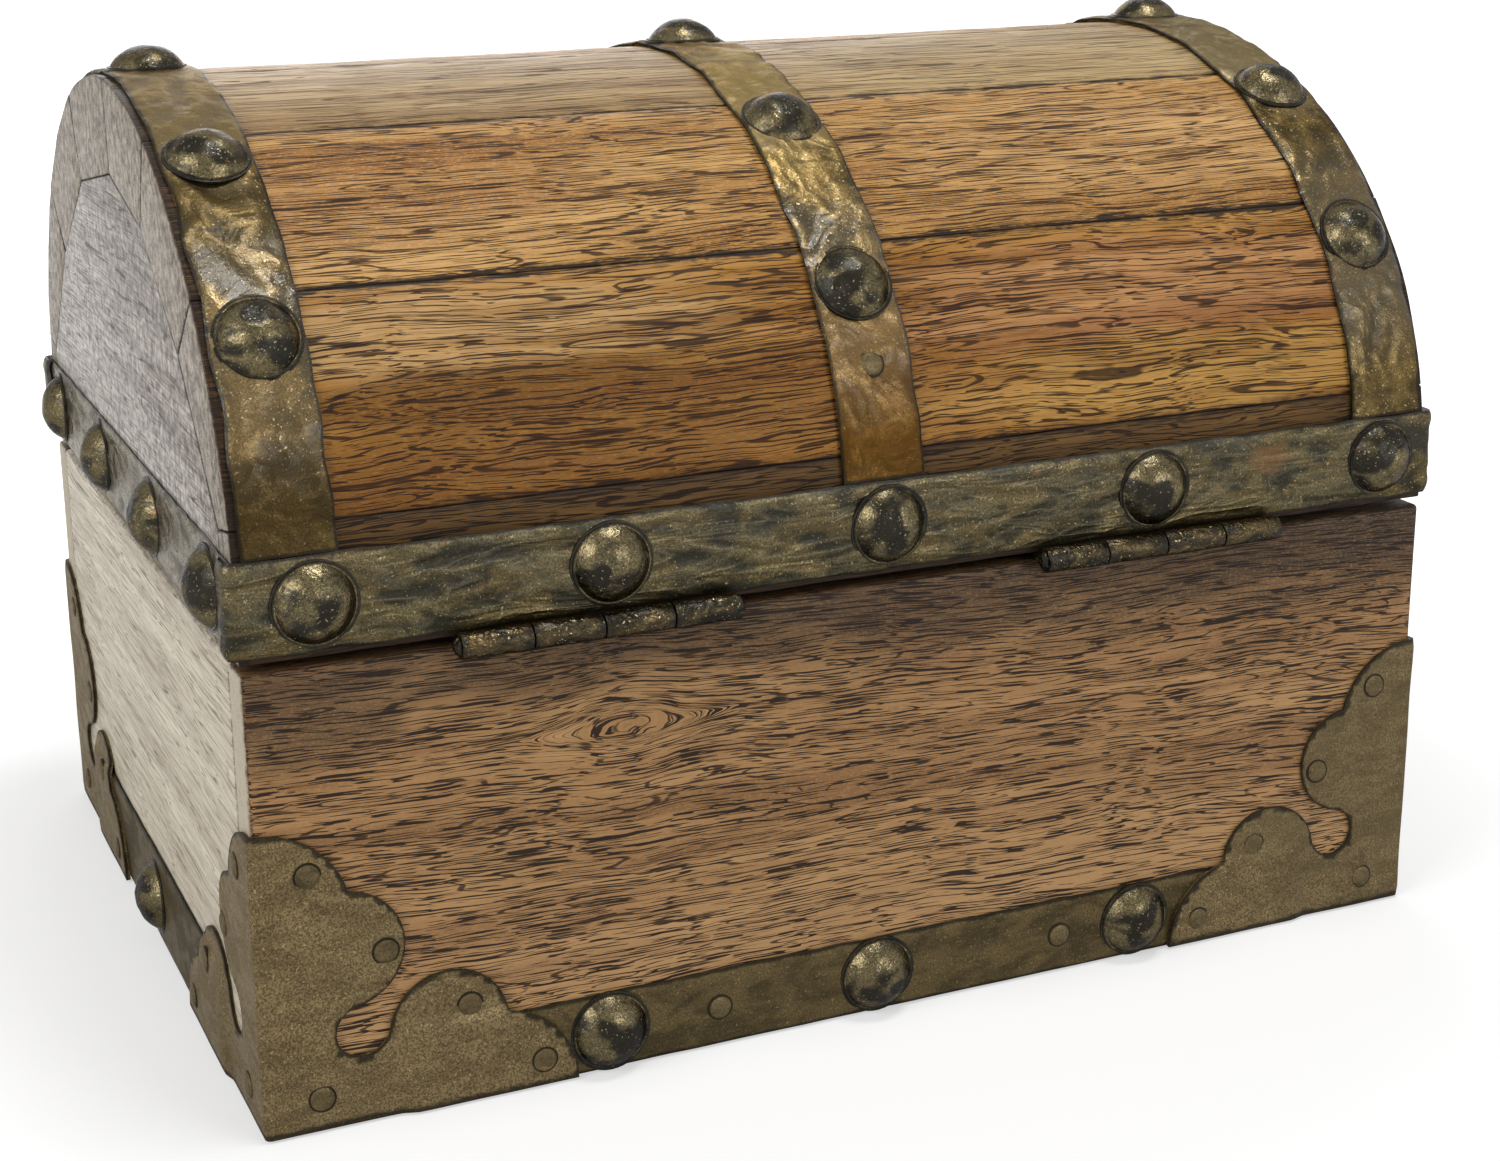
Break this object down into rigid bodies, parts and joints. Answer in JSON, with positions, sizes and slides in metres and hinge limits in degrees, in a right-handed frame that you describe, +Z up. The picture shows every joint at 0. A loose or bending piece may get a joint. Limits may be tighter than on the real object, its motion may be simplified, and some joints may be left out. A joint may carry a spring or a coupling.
{
  "type": "treasure chest",
  "caption": "Small wooden treasure chest with a coopered half-round hinged lid, metal bands, scalloped corner plates, domed studs, and a front hasp and staple.",
  "frame": {"origin": "centre of the underside of the wooden body", "axes": "+X along the length to the chest's left end, +Y to the hinge side, +Z up"},
  "size_m": [0.2118, 0.1631, 0.1524],
  "materials": {
    "board_wood": "satin streaked hardwood",
    "lid_wood": "satin streaked hardwood",
    "bottom_wood": "plain hardwood",
    "lid_band_metal": "hammered, antiqued",
    "base_band_metal": "matt, sand-textured, antiqued",
    "stud_metal": "pitted, rubbed to brass on top",
    "nail_metal": "dull",
    "hinge_brass": "worn brass",
    "hasp_metal": "antiqued"
  },
  "bodies": {
    "chest_body": {"base_band_front": "base_band_metal", "base_band_left": "base_band_metal", "base_band_nails": "nail_metal", "base_band_rear": "base_band_metal", "base_band_right": "base_band_metal", "base_studs_front": "stud_metal", "base_studs_left": "stud_metal", "base_studs_rear": "stud_metal", "base_studs_right": "stud_metal", "bottom_board": "bottom_wood", "corner_plate_front_left": "base_band_metal", "corner_plate_front_right": "base_band_metal", "corner_plate_nails_front_left": "nail_metal", "corner_plate_nails_front_right": "nail_metal", "corner_plate_nails_rear_left": "nail_metal", "corner_plate_nails_rear_right": "nail_metal", "corner_plate_rear_left": "base_band_metal", "corner_plate_rear_right": "base_band_metal", "front_board": "board_wood", "hinge_leaves_body": "hinge_brass", "hinge_nails_body": "nail_metal", "hinge_pins": "hinge_brass", "left_end_board": "board_wood", "rear_board": "board_wood", "right_end_board": "board_wood", "staple": "hasp_metal"},
    "lid": {"arch_band_centre": "lid_band_metal", "arch_band_left": "lid_band_metal", "arch_band_nails": "nail_metal", "arch_band_right": "lid_band_metal", "arch_studs_centre": "stud_metal", "arch_studs_left": "stud_metal", "arch_studs_right": "stud_metal", "hasp_nails": "nail_metal", "hasp_pin": "hasp_metal", "hasp_plate": "hasp_metal", "hinge_leaves_lid": "hinge_brass", "hinge_nails_lid": "nail_metal", "lid_end_panel_left": "lid_wood", "lid_end_panel_right": "lid_wood", "lid_rail_front": "lid_wood", "lid_rail_rear": "lid_wood", "lid_stave_front_lower": "lid_wood", "lid_stave_front_middle": "lid_wood", "lid_stave_front_upper": "lid_wood", "lid_stave_rear_lower": "lid_wood", "lid_stave_rear_middle": "lid_wood", "lid_stave_rear_upper": "lid_wood", "rim_band_front": "lid_band_metal", "rim_band_left": "lid_band_metal", "rim_band_rear": "lid_band_metal", "rim_band_right": "lid_band_metal", "rim_studs_front": "stud_metal", "rim_studs_left": "stud_metal", "rim_studs_rear": "stud_metal", "rim_studs_right": "stud_metal"},
    "hasp": {"hasp_flap": "hasp_metal"}
  },
  "joints": [
    {"name": "lid_hinge", "type": "hinge", "parent": "chest_body", "child": "lid", "pos_m": [0, 0.0776, 0.0727], "axis": [-1, 0, 0], "range_deg": [0, 170]},
    {"name": "hasp_hinge", "type": "hinge", "parent": "lid", "child": "hasp", "pos_m": [0, -0.0779, 0.0761], "axis": [1, 0, 0], "range_deg": [0, 180]}
  ]
}
